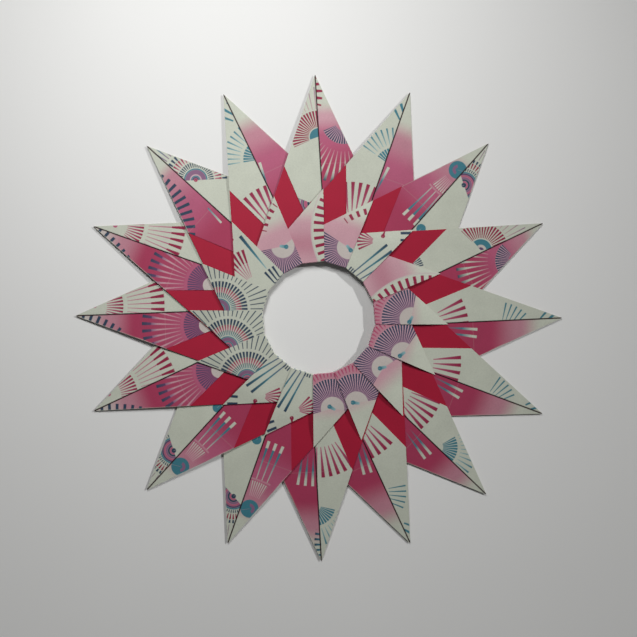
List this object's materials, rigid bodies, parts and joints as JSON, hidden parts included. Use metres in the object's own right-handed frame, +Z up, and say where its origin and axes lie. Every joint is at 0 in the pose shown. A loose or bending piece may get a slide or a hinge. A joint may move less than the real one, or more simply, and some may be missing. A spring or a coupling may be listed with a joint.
{
  "type": "modular origami star",
  "caption": "Flat ring-shaped paper star of folded square sheets, each tucked into its neighbour's pocket, with long split points and an open centre.",
  "frame": {"origin": "centre of the star, on the surface that its back lies on", "axes": "+Z up out of the printed front, +Y towards the tip of the first sheet, +X towards the tip four sheets clockwise"},
  "size_m": [0.263, 0.263, 0.003],
  "materials": {
    "printed_paper": "matt"
  },
  "bodies": {
    "root": {"sheet_01": "printed_paper", "sheet_02": "printed_paper", "sheet_03": "printed_paper", "sheet_04": "printed_paper", "sheet_05": "printed_paper", "sheet_06": "printed_paper", "sheet_07": "printed_paper", "sheet_08": "printed_paper", "sheet_09": "printed_paper", "sheet_10": "printed_paper", "sheet_11": "printed_paper", "sheet_12": "printed_paper", "sheet_13": "printed_paper", "sheet_14": "printed_paper", "sheet_15": "printed_paper", "sheet_16": "printed_paper"}
  },
  "joints": []
}
